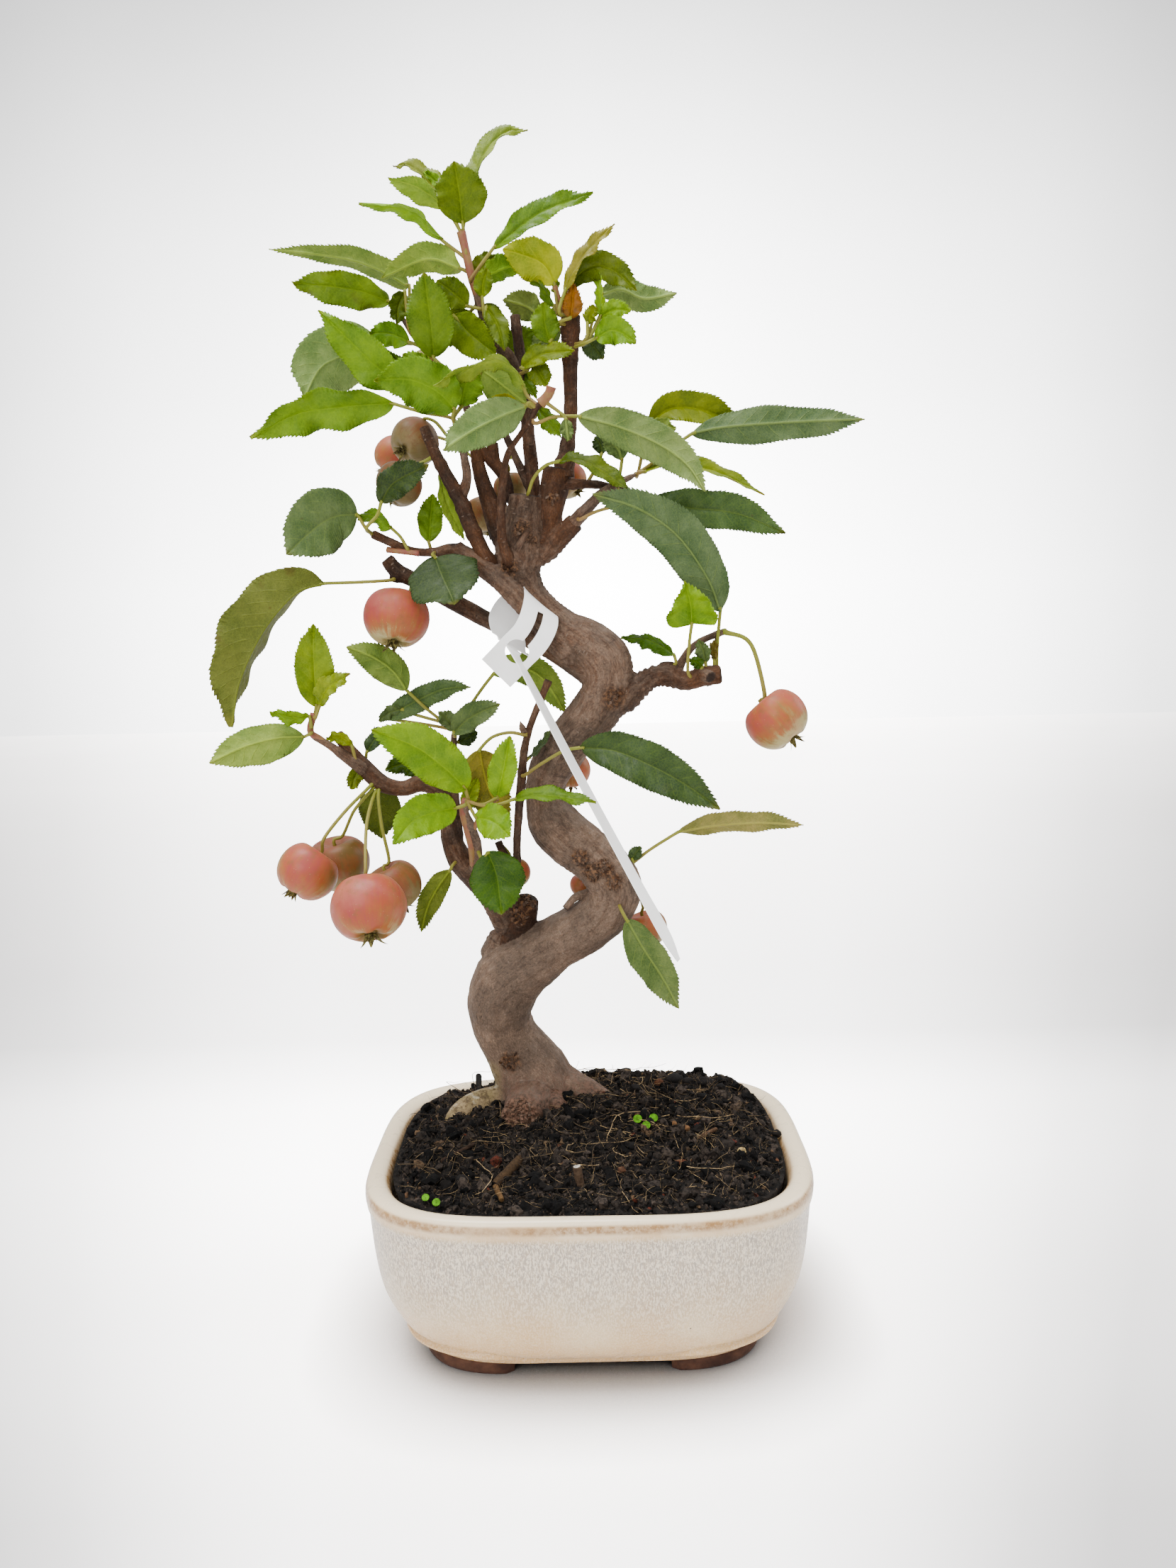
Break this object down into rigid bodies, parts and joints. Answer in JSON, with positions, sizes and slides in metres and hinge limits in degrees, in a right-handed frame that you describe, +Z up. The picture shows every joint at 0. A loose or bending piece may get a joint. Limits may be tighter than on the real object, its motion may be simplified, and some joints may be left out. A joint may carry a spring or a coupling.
{
  "type": "bonsai crabapple tree",
  "caption": "Fruiting crabapple bonsai with a bent trunk, leafy twigs and a loop label, growing in an oval-cornered glazed pot on four feet.",
  "frame": {"origin": "under the middle of the whole model, on the plane the pot's feet stand on", "axes": "+Z up along the tree, +X to the tree's right as seen from its front, -Y towards its front"},
  "size_m": [0.285, 0.166, 0.535],
  "materials": {
    "drain_plastic": "dark woven mesh over the drain hole",
    "fruit_skin": "smooth red and cream fruit skin with fine dots",
    "glaze": "cream glaze with a speckled blue-grey band under the lip, unglazed brown feet",
    "label_plastic": "bare white plastic strip",
    "leaf": "satin green leaf with a paler underside",
    "old_bark": "grey-brown bark with wrinkles and scars",
    "soil": "dark damp potting soil with fine roots and small stones",
    "young_bark": "dark red-brown bark with small pores",
    "young_leaf": "bright yellow-green leaf"
  },
  "bodies": {
    "root": {"apex_leaves": "leaf", "arched_leaf": "leaf", "behind_fruit_leaf": "leaf", "big_dark_leaf": "leaf", "crown_left_branch": "young_bark", "crown_left_leaves": "leaf", "crown_right_leaves": "young_leaf", "crown_spur_leaves": "leaf", "dark_limb": "young_bark", "dark_right_leaf": "leaf", "drain_mesh": "drain_plastic", "drooping_leaf": "leaf", "folded_lime_leaf": "young_leaf", "front_spur_leaves": "young_leaf", "front_twig": "young_bark", "front_twig_leaves": "leaf", "fruit_behind_limb": "fruit_skin", "fruit_behind_stump": "fruit_skin", "fruit_behind_trunk": "fruit_skin", "fruit_behind_twig": "fruit_skin", "fruit_crown_back": "fruit_skin", "fruit_crown_left": "fruit_skin", "fruit_crown_low": "fruit_skin", "fruit_crown_small": "fruit_skin", "fruit_hanging_back": "fruit_skin", "fruit_hanging_front": "fruit_skin", "fruit_hanging_left": "fruit_skin", "fruit_hanging_right": "fruit_skin", "fruit_left_limb": "fruit_skin", "fruit_right": "fruit_skin", "fruit_small_back": "fruit_skin", "fruit_under_leaf": "fruit_skin", "hanging_strip_leaf": "leaf", "label_tag": "label_plastic", "leader_leaves": "leaf", "left_spur_leaves": "leaf", "left_spur_tip_leaves": "young_leaf", "left_twig_leaves": "leaf", "lobed_leaf": "leaf", "long_curved_leaf": "leaf", "lower_left_branch": "young_bark", "middle_leader": "young_bark", "middle_twig": "young_bark", "olive_arch_leaf": "leaf", "olive_hanging_leaf": "leaf", "pointing_leaf": "leaf", "pot": "glaze", "right_arching_leaf": "leaf", "right_leader": "young_bark", "right_spur_leaves": "leaf", "right_stub_branch": "young_bark", "round_dark_leaf": "leaf", "round_green_leaf": "leaf", "soil": "soil", "stub_left_leaf": "leaf", "tag_limb": "young_bark", "tall_right_leaf": "leaf", "trunk": "old_bark", "upper_left_leaves": "leaf", "upright_bright_leaf": "young_leaf"}
  },
  "joints": []
}
